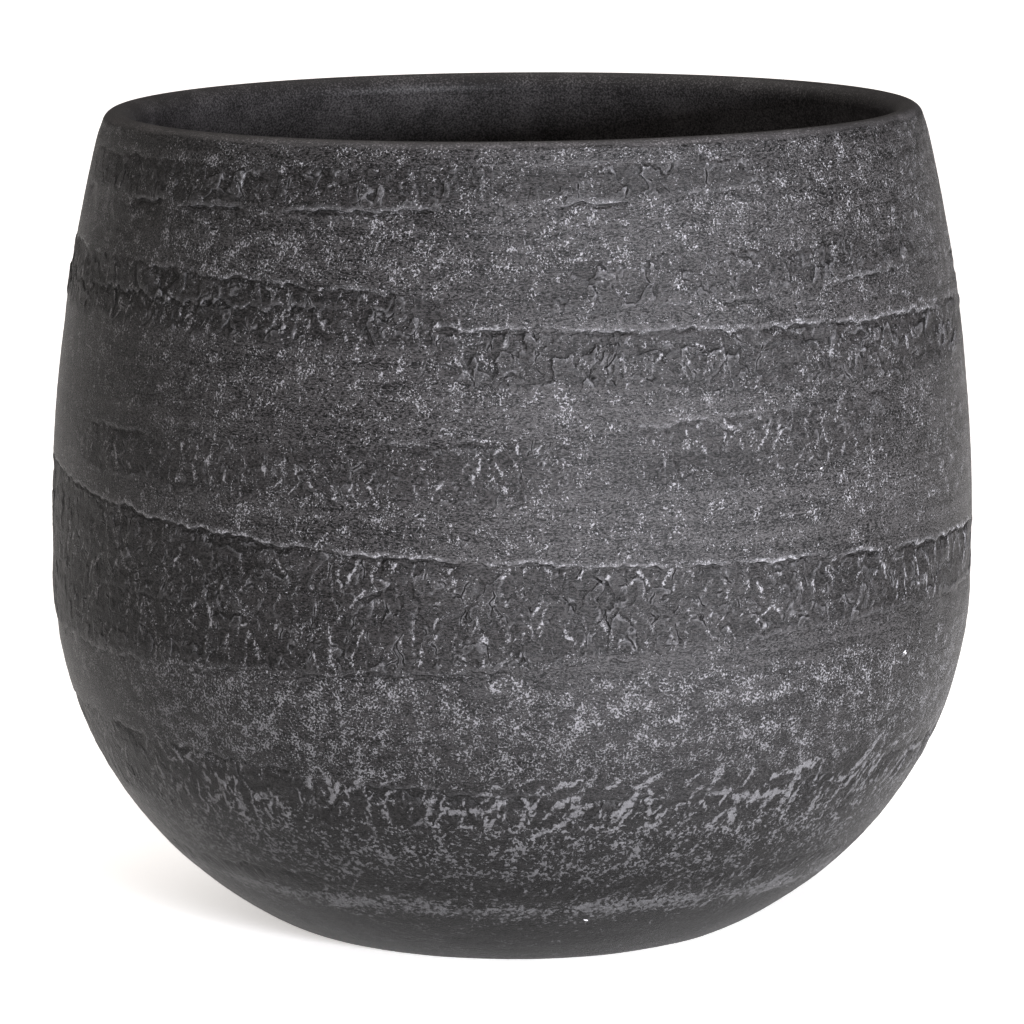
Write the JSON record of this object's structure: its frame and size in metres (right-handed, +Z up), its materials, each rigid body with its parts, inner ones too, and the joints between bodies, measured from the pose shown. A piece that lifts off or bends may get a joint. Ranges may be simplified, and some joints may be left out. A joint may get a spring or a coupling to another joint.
{
  "type": "round-bellied clay pot",
  "caption": "Round-bellied open pot in dark unpolished clay with torn, speckled bands outside, a rolled satin-glazed lip and a small flat foot.",
  "frame": {"origin": "centre of the round foot, on the surface that the pot stands on", "axes": "+Z up along the pot's axis of revolution, out of the mouth; X and Y are any two level directions, with the viewer of the reference view on -Y"},
  "size_m": [0.28, 0.28, 0.248],
  "materials": {
    "black_clay": "matte",
    "lip_glaze": "satin"
  },
  "bodies": {
    "root": {"floor_slab": "black_clay", "wall_course_1": "black_clay", "wall_course_2": "black_clay", "wall_course_3": "black_clay", "wall_course_4": "black_clay", "wall_course_5": "black_clay", "wall_course_6": "black_clay", "wall_course_7": "black_clay", "rim_coil": "lip_glaze"}
  },
  "joints": []
}
